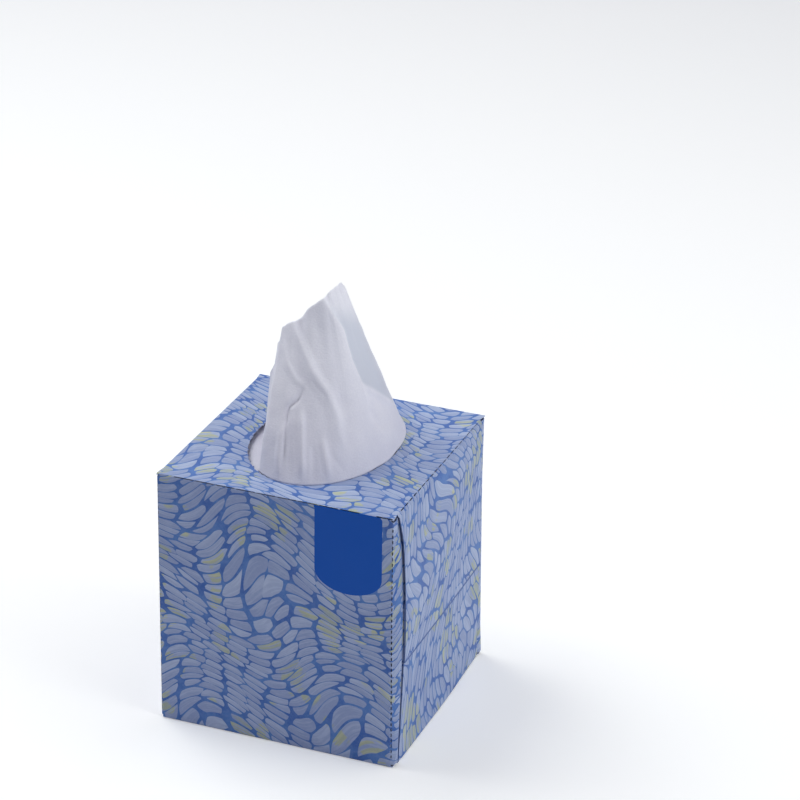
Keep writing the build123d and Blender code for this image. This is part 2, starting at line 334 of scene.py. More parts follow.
def pebble_print(s, uv, u, v):
    """Colour of the pattern: pale packed pebbles in wavy bands on a blue ground, some brushed yellow."""
    pebbles, bands = bent_bands(s, uv, u, v)
    packed = s.node("CombineXYZ")
    s.feed(packed.inputs[0], pebbles)
    s.feed(packed.inputs[1], bands)
    packed = packed.outputs[0]
    centre, edge = (pebble_cells(s, packed, feature) for feature in ("F1", "DISTANCE_TO_EDGE"))
    chances = s.node("SeparateColor")
    s.feed(chances.inputs[0], centre.outputs["Color"])
    yellow_chance, size_chance, tone_chance = (chances.outputs[i] for i in range(3))

    # Corners lie far from the middle of a cell, so a share of that distance squared comes off to round them.
    reach = s.math("POWER", centre.outputs["Distance"], 2.0)
    depth = s.math("SUBTRACT", edge.outputs["Distance"], s.math("MULTIPLY", reach, CORNER_LOSS))
    # The fourth power is near 0 for most pebbles, so only some of them fall short.
    short = s.math("MULTIPLY", s.math("POWER", size_chance, 4.0), PEBBLE_SHORT)
    inside = s.step(s.math("SUBTRACT", depth, s.math("SUBTRACT", short, PEBBLE_REACH)), *PEBBLE_RIM)

    middle = s.node("SeparateXYZ")
    s.feed(middle.inputs[0], centre.outputs["Position"])
    lit = s.step(s.math("SUBTRACT", bands, middle.outputs[1]), *LIT_RANGE)
    stretched = s.node("Mapping")
    s.feed(stretched.inputs["Vector"], packed)
    stretched.inputs["Scale"].default_value = STREAK_STRETCH
    streaks = s.step(s.noise(stretched.outputs[0], 1.0, detail=3.0), *STREAK_RANGE)
    tone = s.math("ADD", s.math("MULTIPLY", lit, LIT_SHARE), s.math("MULTIPLY", streaks, STREAK_SHARE))
    own_tone = s.math("MULTIPLY", s.math("SUBTRACT", tone_chance, TONE_MIDDLE), TONE_SPREAD)
    tone = s.math("ADD", tone, own_tone, clamp=True)

    chance = s.math("MULTIPLY", yellow_chance, PATCH_SPREAD)
    patches = s.math("ADD", s.noise(uv, PATCH_FINENESS, detail=1.0), chance)
    strokes = s.step(s.noise(stretched.outputs[0], STROKE_FINENESS), *STROKE_RANGE)
    accent = s.math("MULTIPLY", s.step(patches, *PATCH_RANGE), strokes)
    pale = s.blend(tone, PEBBLE_SHADE, PEBBLE_LIGHT)
    yellow = s.blend(tone, ACCENT_SHADE, ACCENT_LIGHT)
    shapes = s.blend(s.math("MULTIPLY", accent, ACCENT_COVER), pale, yellow)
    ground = s.blend(s.step(s.noise(uv, MOTTLE_FINENESS), *MOTTLE_RANGE), GROUND_DEEP, GROUND)
    return s.blend(inside, ground, shapes)


def tab_mask(s, u, v):
    """1 on the tab that hangs from the front panel's upper edge, and 0 elsewhere."""
    across = s.math("ABSOLUTE", s.math("SUBTRACT", u, TAB_LEFT + TAB_WIDTH / 2 - WIDTH / 2))
    drop = s.math("MULTIPLY", v, -1.0)
    past = s.math("MAXIMUM", s.math("SUBTRACT", drop, TAB_DROP - TAB_ROUND), 0.0)
    oval = s.math("ADD", s.math("POWER", s.math("DIVIDE", across, TAB_WIDTH / 2), 2.0),
                  s.math("POWER", s.math("DIVIDE", past, TAB_ROUND), 2.0))
    tab = s.math("MULTIPLY", s.math("LESS_THAN", oval, 1.0), s.math("GREATER_THAN", drop, TAB_GAP))
    return s.math("MULTIPLY", tab, s.node("Attribute", attribute_name="front_panel").outputs["Fac"])


# Surface of the board: fineness of the fibres and of the slow waves, and their depths in metres
COAT_FIBRES, COAT_DEPTH = 900.0, 0.00005
RAW_FIBRES, RAW_DEPTH = 700.0, 0.00008
BOARD_WAVES, WAVE_DEPTH = 24.0, 0.0016
COAT_ROUGHNESS, ROUGHNESS_SPREAD, COAT_GLOSS = 0.40, 0.16, 0.2
FLECK_RANGE, FLECK_COVER = (0.3, 0.8), 0.06
FIBRE_RANGE, FIBRE_SHADE = (0.3, 0.7), 0.90


def board_waves(s):
    return s.bump(s.noise(s.place(), BOARD_WAVES), WAVE_DEPTH)


def printed_board():
    """Coated board: the pattern, the bare dark tab, and a painted shadow line along the upper flap's free
    edge.
    """
    s = Surface("printed_board")
    uv = s.node("UVMap", uv_map="print").outputs[0]
    split = s.node("SeparateXYZ")
    s.feed(split.inputs[0], uv)
    u, v = (s.math("MULTIPLY", split.outputs[i], 1 / MM) for i in (0, 1))
    tab = tab_mask(s, u, v)
    colour = s.blend(tab, pebble_print(s, uv, u, v), TAB_BLUE)
    # Only the upper flap's free edge lies this far out on the printed sheet.
    free_edge = WIDTH / 2 + FLAP_LENGTH
    # Painted shadow: a dark band on the flap's edge stands in for the shade in the gap under that edge.
    lap_shadow = s.step(u, free_edge - LAP_SHADOW_WIDTH, free_edge - LAP_SHADOW_WIDTH / 2)
    colour = s.blend(s.math("MULTIPLY", lap_shadow, LAP_SHADOW_COVER), colour, LAP_SHADOW)
    fibres = s.noise(s.place(), COAT_FIBRES, detail=3.0)
    cover = s.math("MULTIPLY", s.math("SUBTRACT", 1.0, tab), FLECK_COVER)
    s.link(s.blend(s.math("MULTIPLY", s.step(fibres, *FLECK_RANGE), cover), colour, FLECK), "Base Color")
    s.link(s.math("ADD", s.math("MULTIPLY", fibres, ROUGHNESS_SPREAD), COAT_ROUGHNESS), "Roughness")
    s.set("Specular IOR Level", COAT_GLOSS)
    s.link(s.bump(fibres, COAT_DEPTH, normal=board_waves(s)), "Normal")
    return s.material


def plain_board(name, colour, roughness):
    """Unprinted board with fine fibres."""
    s = Surface(name)
    fibres = s.noise(s.place(), RAW_FIBRES, detail=4.0)
    shade = tuple(c * FIBRE_SHADE for c in colour[:3]) + (1.0,)
    s.link(s.blend(s.step(fibres, *FIBRE_RANGE), shade, colour), "Base Color")
    s.set("Roughness", roughness)
    s.link(s.bump(fibres, RAW_DEPTH, normal=board_waves(s)), "Normal")
    return s.material


# Tissue paper: fineness and depth in metres of its fibres and its creping, and fineness of its cloudiness
PAPER_FIBRES, PAPER_DEPTH = 1400.0, 0.00008
CREPE, CREPE_STRETCH, CREPE_DEPTH = 520.0, (1.0, 1.0, 3.2), 0.0001
CLOUDS, CLOUD_RANGE = 60.0, (0.35, 0.65)
PAPER_SHADE = (0.93, 0.93, 0.95)  # what is left of red, green and blue in the paper's dim flecks
PANEL_SHADE_TINT = (0.72, 0.755, 0.795)  # and on the flat panel at the right, as painted shade
TIP_LIGHT_RISE = 60.0  # height above the carton at which the tissue's painted light is brightest, in millimetres


def tissue_paper():
    """Thin soft paper with fine creping, painted light toward the tip, and painted shade on the flat panel at
    the right.
    """
    s = Surface("tissue_white")
    place = s.place()
    fibres = s.noise(place, PAPER_FIBRES, detail=3.0)
    stretched = s.node("Mapping")
    s.feed(stretched.inputs["Vector"], place)
    stretched.inputs["Scale"].default_value = CREPE_STRETCH
    crepe = s.noise(stretched.outputs[0], CREPE, detail=3.0)
    cloud = s.noise(place, CLOUDS)
    split = s.node("SeparateXYZ")
    s.feed(split.inputs[0], place)
    # Painted light: the tissue's colour brightens from the carton's top toward its tip.
    colour = s.blend(s.step(split.outputs[2], HEIGHT * MM, (HEIGHT + TIP_LIGHT_RISE) * MM), TISSUE_SHADED, TISSUE_LIT)
    tone = s.math("ADD", s.math("MULTIPLY", fibres, 0.5), s.math("MULTIPLY", cloud, 0.5))
    paper = s.blend(s.step(tone, *CLOUD_RANGE), s.tinted(colour, PAPER_SHADE), colour)
    # Painted shade: the flat panel at the right of the sheet is tinted darker and bluer.
    panel_shade = s.node("Attribute", attribute_name="painted_shade_panel").outputs["Fac"]
    s.link(s.blend(panel_shade, paper, s.tinted(colour, PANEL_SHADE_TINT)), "Base Color")
    s.set("Roughness", 0.95)
    s.set("Specular IOR Level", 0.15)
    s.set("Sheen Weight", 0.15)
    s.set("Sheen Roughness", 0.5)
    s.set("Subsurface Weight", 0.2)
    s.set("Subsurface Radius", (1.0, 1.0, 1.0))
    s.set("Subsurface Scale", 0.002)
    s.link(s.bump(fibres, PAPER_DEPTH, normal=s.bump(crepe, CREPE_DEPTH)), "Normal")
    return s.material


GLUE_RIPPLE, GLUE_DEPTH, GLUE_RANGE = 260.0, 0.0002, (0.3, 0.7)


def adhesive():
    """Dried glue with a rippled, slightly glossy surface."""
    s = Surface("adhesive")
    ripple = s.noise(s.place(), GLUE_RIPPLE, detail=3.0)
    s.link(s.blend(s.step(ripple, *GLUE_RANGE), GLUE_SHADE, GLUE_LIGHT), "Base Color")
    s.set("Roughness", 0.35)
    s.link(s.bump(ripple, GLUE_DEPTH), "Normal")
    return s.material


# Carton

# Cut creases: length of each cut, the tie after it and the width of the cut, in millimetres
UPRIGHT_CUTS = (1.5, 1.2, 0.5)
SIDE_CUTS = (3.4, 1.5, 0.5)
TOP_CUTS = (9.0, 0.6, 0.4)
BASE_CUTS = (2.4, 1.6, 0.4)
TORN_CORNER = (7.4, 0.0, 0.5)
CUT_DEPTH = 2.4
UPRIGHT_SHIFT = 0.25  # from the middle of the upright folds toward the front and back panels
UPRIGHT_LEAN = 2  # how many times more the upright cuts face the front or back than a side
UPRIGHT_UNCUT, UNCUT = 8.0, 4.0  # length left uncut in all along an upright crease, and along any other
TORN_REACH = 0.8  # how far the torn corner reaches past the front panel's fold


def crease_rows():
    """Rows of cuts: each has its middle, the way out of the board, the way along, its length and its cuts."""
    top, base = HEIGHT - FOLD_RADIUS, FOLD_RADIUS
    corner = FOLD_RADIUS * math.sqrt(0.5)
    flap_side = WIDTH / 2 - FOLD_RADIUS
    rows = []
    for sx in (-1, 1):
        for sy in (-1, 1):
            middle = (sx * (FLAT_SIDE + corner - UPRIGHT_SHIFT), sy * (FLAT_END + corner), HEIGHT / 2)
            outward = (sx, UPRIGHT_LEAN * sy, 0)
            rows.append((middle, outward, (0, 0, 1), HEIGHT - UPRIGHT_UNCUT, UPRIGHT_CUTS))
        for level, sz, x in ((top, 1, flap_side), (base, -1, flap_side - CREASE_INSET / 2)):
            middle = (sx * (x + corner), 0, level + sz * corner)
            rows.append((middle, (sx, 0, sz), (0, 1, 0), 2 * FLAP_END - UNCUT, SIDE_CUTS))
    flat = 2 * FLAT_SIDE - UNCUT
    for sy in (-1, 1):
        torn_length = TORN_CORNER[0] if sy < 0 else 0.0
        end = sy * (FLAT_END + corner)
        middle = (-torn_length / 2, end, top + corner)
        rows.append((middle, (0, sy, 1), (1, 0, 0), flat - torn_length, TOP_CUTS))
        rows.append(((0, end, base - corner), (0, sy, -1), (1, 0, 0), flat, BASE_CUTS))
    middle = (FLAT_SIDE - TORN_CORNER[0] / 2 + TORN_REACH, -FLAT_END - corner, top + corner)
    rows.append((middle, (0, -1, 1), (1, 0, 0), TORN_CORNER[0], TORN_CORNER))
    return rows


def crease_slots():
    """Cutters for the cut creases: each row is a line of slots through the board along one fold."""
    mesh = bmesh.new()
    for middle, outward, run, length, (cut, tie, width) in crease_rows():
        outward, run = Vector(outward).normalized(), Vector(run)
        turn = Matrix((run, outward, run.cross(outward))).transposed().to_4x4()
        count = int(length // (cut + tie))
        for k in range(count):
            along = (k - (count - 1) / 2) * (cut + tie)
            place = Matrix.Translation((Vector(middle) + run * along) * MM)
            size = Matrix.Diagonal((cut * MM, CUT_DEPTH * MM, width * MM, 1.0))
            bmesh.ops.create_cube(mesh, size=1.0, matrix=place @ turn @ size)
    return mesh


def apply_boolean(target, cutter):
    modifier = target.modifiers.new("cut", "BOOLEAN")
    modifier.operation, modifier.solver, modifier.object = "DIFFERENCE", "EXACT", cutter
    evaluated = target.evaluated_get(bpy.context.evaluated_depsgraph_get())
    mesh = bpy.data.meshes.new_from_object(evaluated)
    target.modifiers.clear()
    target.data = mesh
    bpy.data.objects.remove(cutter)


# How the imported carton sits, in millimetres. The front and back panels reach a little wider than the folded
# blank, and the right side's flap lies closer to the stack at the back than at its loose front edge. A run is
# the length over which a change comes on in full.
WIDER, WIDER_TOP = 1.2, 0.5  # at the ends of each side, and at the top panel's corners
WIDER_START, WIDER_RUN = 20.0, 30.0  # where across a panel the widening starts
WIDER_END_RUN = 3.0  # from the flaps' ends outward
RIGHT_BOW = 4.6  # how far the blank's right side is bent outward
BOW_SKEW, BOW_FULLNESS = 1.7, 0.6  # a skew above 1 sets the bow high, a fullness below 1 flattens its middle
BOW_LOSS = 0.8  # share of the right side's bow that is gone at the back
BEHIND_FOLD = 3.0  # how far behind the right side's fold points still move with the side
SAG = 2.3  # how far the right side bulges out at the base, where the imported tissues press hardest
SAG_LEVEL = 70.0  # height at which the bulge ends, and above which the side lies a little closer in
SAG_FADE = 50.0  # depth under the top over which that closer fit fades in
SAG_EDGE, SAG_RUN = 0.3, 2.0  # how far before the side's front edge the bulge starts
SAG_LOSS = 0.62  # share of the bulge that is gone at the back
LAP_RISE_FRONT, LAP_RISE_BACK = 5.2, 3.4  # how far the right side's upper flap is drawn up
LAP_RUN = 2.0  # from the upright folds inward
SETTLE_CUTS = (-42, -25, -8, 9, 26, 43)  # places from front to back where faces are cut so that they can bend
LAP_CUT = 0.05  # below the upper flap's free edge, where the lower flap's faces are cut


def bow(z):
    """How far the blank's right side is bent outward."""
    share = min(max(z / HEIGHT, 0.0), 1.0)
    return RIGHT_BOW * max(math.sin(math.pi * share ** BOW_SKEW), 0.0) ** BOW_FULLNESS


def sag(y, z):
    """How far the right side lies outside the evenly bowed blank."""
    out = SAG * (1 - z / SAG_LEVEL) * ease((HEIGHT - z) / SAG_FADE)
    return out * ease((y + DEPTH / 2 + SAG_EDGE) / SAG_RUN) * (1 - SAG_LOSS * ease(y / (DEPTH / 2)))


def drawn_up(z, rise):
    """Height on the right side once its upper flap's free edge is drawn up."""
    lap = HEIGHT - FLAP_LENGTH
    if z < lap:
        return z * (lap + rise) / lap
    return HEIGHT - (HEIGHT - z) * (FLAP_LENGTH - rise) / FLAP_LENGTH


def settled(point):
    """Place of a point of the blank once the carton is packed."""
    x, y, z = point
    near_end = ease((abs(y) - FLAP_END) / WIDER_END_RUN) * ease((abs(x) - WIDER_START) / WIDER_RUN)
    near_top = ease((z - HEIGHT + 2 * FOLD_RADIUS) / FOLD_RADIUS)
    x_wider = x + math.copysign(near_end * (WIDER + (WIDER_TOP - WIDER) * near_top), x)
    if x < FLAT_SIDE - BEHIND_FOLD:
        return Vector((x_wider, y, z))
    behind = min(max((y / FLAP_END + 1) / 2, 0.0), 1.0)
    inward = BOW_LOSS * behind * min(bow(z), max(x - FLAT_SIDE, 0.0))
    rise = LAP_RISE_FRONT + (LAP_RISE_BACK - LAP_RISE_FRONT) * behind
    level = z + (drawn_up(z, rise) - z) * ease((FLAT_END - abs(y)) / LAP_RUN)
    return Vector((x_wider + bow(level) - bow(z) - inward + sag(y, level), y, level))


def settle(mesh):
    for vertex in mesh.vertices:
        vertex.co = settled(vertex.co / MM) * MM


def glue_film():
    """The dried glue under the right side's flap, bent as the flap is."""
    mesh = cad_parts["flap_glue_right"].data.copy()
    settle(mesh)
    mesh.materials.clear()
    return new_object("right_flap_glue", mesh)


PRINTED, RAW, PALE, CUT = range(4)
PANEL_SKIN, SIDE_SKIN = 1.2, 3.0  # depth in which a face belongs to an outer panel, or to a bowed side
FLAP_SLACK = 0.05  # beyond a glued flap's end, in which a face still belongs to it
FACING, EDGE_FACING = 0.5, 0.7  # how squarely a panel's face, and a flap's cut edge, must face a way


def face_kind(centre, normal):
    """Which board surface a face of the carton is, and how the print lies on it."""
    x, y, z = centre
    if abs(normal.y) > FACING and abs(y) > DEPTH / 2 - PANEL_SKIN and normal.y * y > 0:
        return PRINTED, "front" if y < 0 else "back"
    if normal.z > FACING and z > HEIGHT - PANEL_SKIN:
        return PRINTED, "top"
    if normal.z < -FACING and z < PANEL_SKIN:
        return PRINTED, "base"
    on_side = abs(x) > WIDTH / 2 - SIDE_SKIN
    if on_side and normal.x * x > 0 and abs(normal.x) > FACING:
        surface = PRINTED if x > 0 else PALE
        if abs(y) >= FLAP_END + FLAP_SLACK:
            return surface, "minor_flap"
        return surface, "top_flap" if z > HEIGHT - FLAP_LENGTH - LAP_CUT else "base_flap"
    if on_side and (abs(normal.y) > EDGE_FACING or abs(normal.z) > EDGE_FACING):
        return CUT, "top"
    return RAW, "top"


def print_place(kind, p):
    """Place of a point on the printed sheet, in millimetres from the middle of the front's upper edge."""
    x, y, z = p
    if kind == "front":
        return x, z - HEIGHT
    if kind == "back":
        return x, DEPTH + HEIGHT - z
    if kind == "top":
        return x, y + DEPTH / 2
    if kind == "base":
        return x, -HEIGHT - y - DEPTH / 2
    if kind == "top_flap":
        return WIDTH / 2 + HEIGHT - z, y + DEPTH / 2
    if kind == "base_flap":
        return WIDTH / 2 + z, -HEIGHT - y - DEPTH / 2
    if y > 0:
        return math.copysign(WIDTH / 2 + DEPTH / 2 - y, x), DEPTH + HEIGHT - z
    return math.copysign(WIDTH / 2 + DEPTH / 2 + y, x), z - HEIGHT


MERGE_GAP, CUT_GAP = 1e-6, 1e-7  # in metres: points this close are joined, or count as lying on a cut
SHARP_ANGLE = math.radians(20)


def bendable(mesh):
    """Join the solid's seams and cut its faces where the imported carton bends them."""
    work = bmesh.new()
    work.from_mesh(mesh)
    bmesh.ops.remove_doubles(work, verts=work.verts, dist=MERGE_GAP)
    cuts = [(Vector((0, y, 0)), (0, 1, 0)) for y in SETTLE_CUTS]
    cuts.append((Vector((0, 0, HEIGHT - FLAP_LENGTH - LAP_CUT)), (0, 0, 1)))
    for place, normal in cuts:
        parts = work.verts[:] + work.edges[:] + work.faces[:]
        bmesh.ops.bisect_plane(work, geom=parts, dist=CUT_GAP, plane_co=place * MM, plane_no=normal)
    work.to_mesh(mesh)
    work.free()


def lay_print(mesh):
    """Give each face its board surface, and each corner its place on the printed sheet."""
    for layer in list(mesh.uv_layers):
        mesh.uv_layers.remove(layer)
    prints = mesh.uv_layers.new(name="print")
    front = mesh.attributes.new("front_panel", "FLOAT", "FACE")
    for face in mesh.polygons:
        slot, kind = face_kind(face.center / MM, face.normal)
        face.material_index = slot
        front.data[face.index].value = 1.0 if kind == "front" else 0.0
        for corner in face.loop_indices:
            point = mesh.vertices[mesh.loops[corner].vertex_index].co / MM
            u, v = print_place(kind, point)
            prints.data[corner].uv = (u * MM, v * MM)


def carton_piece():
    """The carton: the blank's solid with its cut creases, its print and the bends that it has once packed."""
    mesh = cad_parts["carton"].data.copy()
    mesh.materials.clear()
    bendable(mesh)
    carton = new_object("folded_carton", mesh)
    cutter_mesh = bpy.data.meshes.new("slots")
    slots = crease_slots()
    slots.to_mesh(cutter_mesh)
    slots.free()
    apply_boolean(carton, new_object("slots", cutter_mesh))

    mesh = carton.data
    mesh.materials.clear()
    # In the order of PRINTED, RAW, PALE and CUT.
    mesh.materials.append(printed_board())
    mesh.materials.append(plain_board("raw_board", RAW_BOARD, roughness=0.8))
    mesh.materials.append(plain_board("pale_side", PALE_SIDE, roughness=0.5))
    # The cut edges take painted shade: a dark colour in place of the board's pale edge, for the shadow in the
    # gaps.
    mesh.materials.append(plain_board("cut_edge_painted_shade", SHADED_CUT_EDGE, roughness=0.8))
    lay_print(mesh)
    settle(mesh)
    mesh.shade_smooth()
    mesh.set_sharp_from_angle(angle=SHARP_ANGLE)
    return carton


# Raised tissue

TISSUE_THICKNESS = 0.3
OPENING_MIDDLE = Vector((0.0, OPENING_SHIFT, HEIGHT))

# Fineness of the sheet: the spacing of its columns in millimetres, the rows of each part of a column, and the
# rounds in which the lines of points are smoothed
SHEET_STEP = 0.9
SHEET_ROWS, STANDING_ROWS, FOOT_ROWS, BILLOW_ROWS = 80, 6, 8, 4
BASE_ROUNDS, TOP_ROUNDS, FOOT_ROUNDS = 16, 3, 3

# Foot of the sheet, hidden in the carton, in millimetres
STACK_ARCH = 22.0  # rise of the stack's bend
STACK_EDGE = 0.999  # share of the stack's half depth at which the bend counts as ended
FOOT_REACH = 14.0  # how far the foot lies out over the stack
FOOT_GAP = 0.35  # from the stack to the sheet
FOOT_MARGIN = 2.5  # from the foot to the stack's front and back
TOUCH_INSET = 0.8  # from the rim in to where the sheet leaves the stack
BILLOW_GAP = 1.9  # from the top panel to the foot where it shows beside the sheet

# Passage through the opening, as shares of the way from its middle to its edge
RIM_SHARE = 0.985  # where the sheet passes if it is near the edge
PULL_SHARE, PULL_RUN = 0.87, 0.08  # from this share on the sheet is moved out to there
CLEAR_SHARE, BILLOW_RUN, LIP_RUN = 0.94, 0.06, 0.03  # inside it the foot billows, and outside it a lip forms

# Rise of the sheet above the rim
BULGE, BULGE_RIGHT = 1.1, 0.4  # how far the sheet swells outward, and how far at its right
BULGE_SKEW = 0.45  # below 1 the swelling is fullest low down
LIP, LIP_FALL = 0.9, 30.0  # how far the sheet bends out over the opening's edge, and how fast that dies away
LIP_SHARES = [0.004, 0.0065]  # extra rows that keep the bend tight, as shares of the way up
RAGGED = ((0.5, 0.11, 3.7), (0.35, 0.45, 9.1))  # waves of the upper edge: height, pace and place in the noise

# Soft waves of the sheet, in millimetres, and the pace of their noise
WAVES = ((0.45, 0.07), (0.14, 0.22))
BACK_WAVE, BACK_PACE = 2.2, (0.11, 0.11, 0.03)  # slow waves where the sheet faces away from the camera
LIFT_DEPTH, LIFT_RUN = 3.0, 12.0  # how far under the top panel waves and creases start
SEEN_FROM, SEEN_GAIN = 0.05, 4  # how squarely a place must face the camera to have creases
HIDDEN_FROM, HIDDEN_GAIN = 0.1, 3  # how squarely it must face away from it to have slow waves
CREASE_FADE, CREASE_START = 3.0, 0.25  # how fast a crease comes on from its ends, and how far it is there
CREASE_FALL = 1.3  # how sharply it falls off to its sides

# Columns of the sheet, from its free edge at the back left round the front to its free edge at the back
# right. Each has its place on the opening's rim and its place on the upper edge, in millimetres from the
# middle of the opening: to the right and away as the camera sees them, and for the upper edge the height too.
COLUMNS = [
    ((-12, 34), (-12, 15, 48)),
    ((-20, 26), (-21, 14, 36)),
    ((-25, 12), (-25.4, 8.5, 28.5)),
    ((-26.8, 0), (-22.8, 5, 35)),
    ((-27.2, -10), (-21.6, 1, 46.4)),
    ((-27.6, -16), (-20, -1.5, 49)),
    ((-27, -29), (-19.2, -5, 57)),
    ((-19, -38.5), (-14.3, -6.8, 60.5)),
    ((-13, -40.5), (-12.4, -5.8, 61)),
    ((-10, -41.2), (-10.6, -5.6, 61.9)),
    ((0, -40), (-7.8, -7, 67)),
    ((7, -37), (-1.9, -6.2, 70.6)),
    ((16, -30), (1, -4.2, 73.4)),
    ((25.5, -17.5), (3.6, -0.8, 74.6)),
    ((31, -2), (5.7, 3, 74.8)),
    ((33.2, 13), (7, 6, 72)),
    ((31, 21), (2.8, 8, 70.4)),
    ((28, 27), (7.5, 10.5, 69)),
    ((24, 31.5), (0, 11.5, 67)),
    ((19, 36), (5, 14.5, 65)),
    ((12, 40), (-2, 15, 61)),
    ((6, 41), (-7, 14, 56)),
]


def smoothed(points, rounds):
    """The points of an open line, each moved toward its neighbours a number of times."""
    for _ in range(rounds):
        middle = [(a + b * 2 + c) / 4 for a, b, c in zip(points, points[1:], points[2:])]
        points = [points[0]] + middle + [points[-1]]
    return points


# Creases of the front of the sheet as seen in the picture: height, width to the left and to the right of the
# line, and the points of the line, in millimetres right and up from the middle of the opening.
CREASES = [
    (1.3, 5.0, 3.0, [(-17.6, 60.0), (-14.9, 51.3), (-13.1, 46.5), (-10.5, 41.7), (-8.0, 35.9), (-5.6, 30.2),
                     (-0.4, 22.7), (2.7, 16.1), (5.2, 10.0), (5.8, 3.8), (9.6, -5.9)]),
    (-0.5, 0.8, 1.1, [(-6.1, 26.3), (-3.0, 22.4), (1.4, 17.5)]),
    (1.8, 9.0, 2.2, [(-7.5, 70.0), (-1.2, 60.0), (5.8, 47.8), (9.6, 35.1), (13.3, 26.3), (17.7, 15.3),
                     (18.4, 8.0)]),
    (1.1, 2.0, 6.0, [(14.6, 24.9), (22.0, 20.5), (29.6, 15.3)]),
    (-1.0, 3.0, 3.0, [(15.9, 19.0), (20.8, 11.6), (27.2, 2.1)]),
    (0.7, 2.6, 1.4, [(-19.0, 47.0), (-16.8, 33.7), (-13.1, 27.1), (-8.7, 23.2)]),
    (-1.4, 2.6, 1.0, [(-9.3, 22.7), (-11.8, 17.5), (-15.6, 14.4), (-17.1, 6.9), (-17.8, -5.9),
                      (-19.3, -15.1)]),
    (2.1, 3.2, 1.4, [(-17.4, 9.0), (-18.6, -4.0), (-19.6, -18.0)]),
    (-0.7, 2.0, 2.8, [(-15.2, 4.0), (-15.2, -18.0)]),
    (1.8, 2.6, 1.5, [(-10.0, 14.0), (-9.6, -2.0), (-9.2, -18.5)]),
    (-0.7, 2.0, 3.0, [(-5.2, -1.0), (-4.6, -18.5)]),
    (1.2, 2.0, 2.2, [(-1.2, 1.5), (0.2, -7.0), (2.4, -18.5)]),
    (-0.5, 1.2, 1.6, [(2.0, -4.6), (5.0, -8.6), (8.6, -13.5)]),
    (1.0, 3.0, 3.5, [(24.5, 8.0), (27.5, 2.0), (28.6, -5.0)]),
]

# Outline of the flat panel at the right that takes painted shade, a darker bluish tint, seen as the creases
# are
PAINTED_SHADE_OUTLINE = [(-2.6, 66.0), (-0.4, 59.0), (6.8, 47.4), (10.6, 35.1), (14.6, 25.6), (22.0, 21.2),
                    (30.5, 16.0), (44.0, 14.0), (18.0, 76.0)]
SHADE_EDGE = 1.6  # width over which the panel fades out
SHADE_TOP, SHADE_FADE = 62.0, 14.0  # height at which it ends and the length over which it fades in below


def nearest_on(x, y, start, end):
    """Where a straight run comes nearest to a place, as a share of the run, and how near it comes."""
    (ax, ay), (bx, by) = start, end
    dx, dy = bx - ax, by - ay
    share = min(max(((x - ax) * dx + (y - ay) * dy) / (dx * dx + dy * dy), 0.0), 1.0)
    return share, math.hypot(x - ax - share * dx, y - ay - share * dy)


def painted_shade_panel(x, y):
    """From 0 to 1, how far a place in the picture lies inside the panel of painted shade."""
    inside = False
    nearest = math.inf
    for start, end in zip(PAINTED_SHADE_OUTLINE, PAINTED_SHADE_OUTLINE[1:] + PAINTED_SHADE_OUTLINE[:1]):
        (ax, ay), (bx, by) = start, end
        if (ay > y) != (by > y) and x < ax + (y - ay) / (by - ay) * (bx - ax):
            inside = not inside
        _, gap = nearest_on(x, y, start, end)
        nearest = min(nearest, gap)
    return ease(0.5 + (nearest if inside else -nearest) / SHADE_EDGE) * ease((SHADE_TOP - y) / SHADE_FADE)


def crease_rise(x, y):
    """How far the creases lift the sheet toward the camera at a place in the picture."""
    rise = 0.0
    for height, left, right, line in CREASES:
        low_x, high_x = min(p[0] for p in line) - left - right, max(p[0] for p in line) + left + right
        low_y, high_y = min(p[1] for p in line) - left - right, max(p[1] for p in line) + left + right
        if not (low_x < x < high_x and low_y < y < high_y):
            continue
        nearest = math.inf
        for k, (start, end) in enumerate(zip(line, line[1:])):
            share, gap = nearest_on(x, y, start, end)
            if gap < nearest:
                nearest = gap
                along = (k + share) / (len(line) - 1)
                side = (x - start[0]) * (end[1] - start[1]) - (y - start[1]) * (end[0] - start[0])
        # The lines run downward, so the side is above 0 for a place to their left.
        reach = nearest / (left if side > 0 else right)
        fade = ease(min(along, 1 - along) * CREASE_FADE + CREASE_START)
        rise += height * fade * max(1 - reach, 0.0) ** CREASE_FALL
    return rise


def sheet_paths():
    """Points of the sheet on the rim and on its upper edge, evenly spaced along the sheet."""
    right, away, _ = view_axes()
    base = [OPENING_MIDDLE + right * r + away * d for (r, d), _ in COLUMNS]
    top = [OPENING_MIDDLE + right * r + away * d + Vector((0.0, 0.0, h)) for _, (r, d, h) in COLUMNS]
    bases, tops = [base[0]], [top[0]]
    for k in range(len(COLUMNS) - 1):
        span = max((base[k + 1] - base[k]).length, (top[k + 1] - top[k]).length)
        steps = max(round(span / SHEET_STEP), 1)
        for i in range(1, steps + 1):
            bases.append(base[k].lerp(base[k + 1], i / steps))
            tops.append(top[k].lerp(top[k + 1], i / steps))
    return [to_rim(point) for point in smoothed(bases, BASE_ROUNDS)], smoothed(tops, TOP_ROUNDS)


def rim_share(point):
    """How far out a point stands, as a share of the way from the middle of the opening to its edge."""
    return math.hypot(point.x / (OPENING[0] / 2), (point.y - OPENING_SHIFT) / (OPENING[1] / 2))


def to_rim(point):
    """The point moved out to just inside the opening's edge, unless it stands well clear of that edge."""
    share = rim_share(point)
    scale = 1 + (RIM_SHARE / share - 1) * ease((share - PULL_SHARE) / PULL_RUN)
    return Vector((point.x * scale, (point.y - OPENING_SHIFT) * scale + OPENING_SHIFT, point.z))


def outward_at(point):
    """Level direction from the middle of the opening to a point."""
    return Vector((point.x, point.y - OPENING_SHIFT, 0.0)).normalized()


